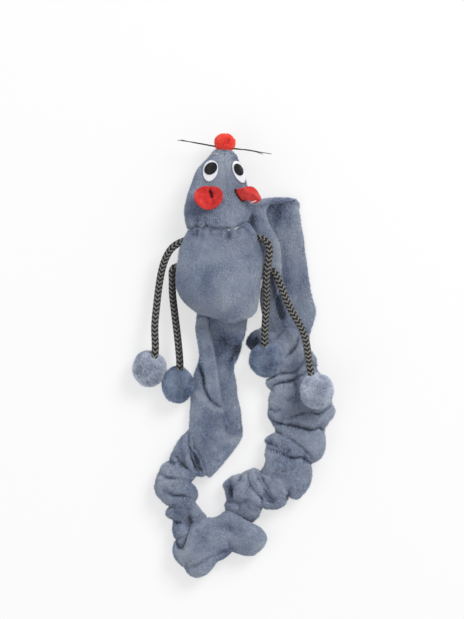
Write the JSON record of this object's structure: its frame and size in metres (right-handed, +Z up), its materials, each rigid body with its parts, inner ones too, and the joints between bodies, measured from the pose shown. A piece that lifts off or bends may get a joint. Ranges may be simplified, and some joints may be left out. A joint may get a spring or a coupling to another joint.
{
  "type": "catnip mouse toy",
  "caption": "Plush catnip mouse with stuffed head and body, braided cord limbs with pompom paws, red felt ears, and a long elastic-gathered sleeve ending in a hand loop.",
  "frame": {"origin": "under the middle of the toy, on the floor it lies on", "axes": "+Y from the sleeve's lowest fold to the nose, +X to the toy's right-hand side as seen from above, +Z up from the back through the belly"},
  "size_m": [0.0943, 0.2072, 0.029],
  "materials": {
    "plush": "short-pile grey-blue plush",
    "pompom": "trimmed grey-blue pompom pile",
    "red_pompom": "trimmed red pompom pile",
    "red_felt": "red felt",
    "eye_white": "white felt",
    "eye_black": "black felt",
    "cord": "braided black and grey-beige cord",
    "whisker": "stiff waxed thread",
    "fibre": "loose white polyester fibre",
    "pouch_cloth": "thin green cloth holding dried herb",
    "elastic": "covered round elastic"
  },
  "bodies": {
    "torso": {"body_front_panel": "plush", "body_back_panel": "plush", "body_filling": "fibre", "catnip_pouch": "pouch_cloth", "sleeve_flat_strip": "plush", "sleeve_gather_left": "plush", "sleeve_lowest_fold": "plush", "elastic_lower": "elastic"},
    "head": {"head_left_panel": "plush", "head_right_panel": "plush", "head_filling": "fibre", "nose_pompom": "red_pompom", "whisker_thread_upper": "whisker", "whisker_thread_lower": "whisker", "eye_white_left": "eye_white", "eye_pupil_left": "eye_black", "eye_white_right": "eye_white", "eye_pupil_right": "eye_black", "ear_left": "red_felt", "ear_right": "red_felt"},
    "arm_left": {"arm_left_cord": "cord", "arm_left_pompom": "pompom"},
    "arm_right": {"arm_right_cord": "cord", "arm_right_pompom": "pompom"},
    "leg_left": {"leg_left_cord": "cord", "leg_left_pompom": "pompom"},
    "leg_right": {"leg_right_cord": "cord", "leg_right_pompom": "pompom"},
    "sleeve_run": {"sleeve_gather_right": "plush", "elastic_upper": "elastic"},
    "loop": {"hand_loop": "plush"}
  },
  "joints": [
    {"name": "neck_nod", "type": "hinge", "parent": "torso", "child": "head", "pos_m": [-0.0069, 0.05885, 0.023], "axis": [1, 0, 0], "range_deg": [0, 60]},
    {"name": "arm_left_lift", "type": "hinge", "parent": "torso", "child": "arm_left", "pos_m": [-0.0254, 0.0531, 0.0134], "axis": [-1, 0, 0], "range_deg": [0, 150]},
    {"name": "arm_right_lift", "type": "hinge", "parent": "torso", "child": "arm_right", "pos_m": [0.0134, 0.0552, 0.0142], "axis": [-1, 0, 0], "range_deg": [0, 150]},
    {"name": "leg_left_lift", "type": "hinge", "parent": "torso", "child": "leg_left", "pos_m": [-0.0291, 0.0414, 0.0134], "axis": [-1, 0, 0], "range_deg": [0, 120]},
    {"name": "leg_right_lift", "type": "hinge", "parent": "torso", "child": "leg_right", "pos_m": [0.0163, 0.0404, 0.0127], "axis": [-1, 0, 0], "range_deg": [0, 120]},
    {"name": "sleeve_swing", "type": "hinge", "parent": "torso", "child": "sleeve_run", "pos_m": [0.0131, -0.0718, 0.006], "axis": [0, 0, -1], "range_deg": [0, 30]},
    {"name": "loop_pull", "type": "slide", "parent": "sleeve_run", "child": "loop", "axis": [0, 1, 0], "range_m": [0, 0.06], "stiffness_N_per_m": 40, "deforming": ["sleeve_gather_right", "elastic_upper"]}
  ]
}
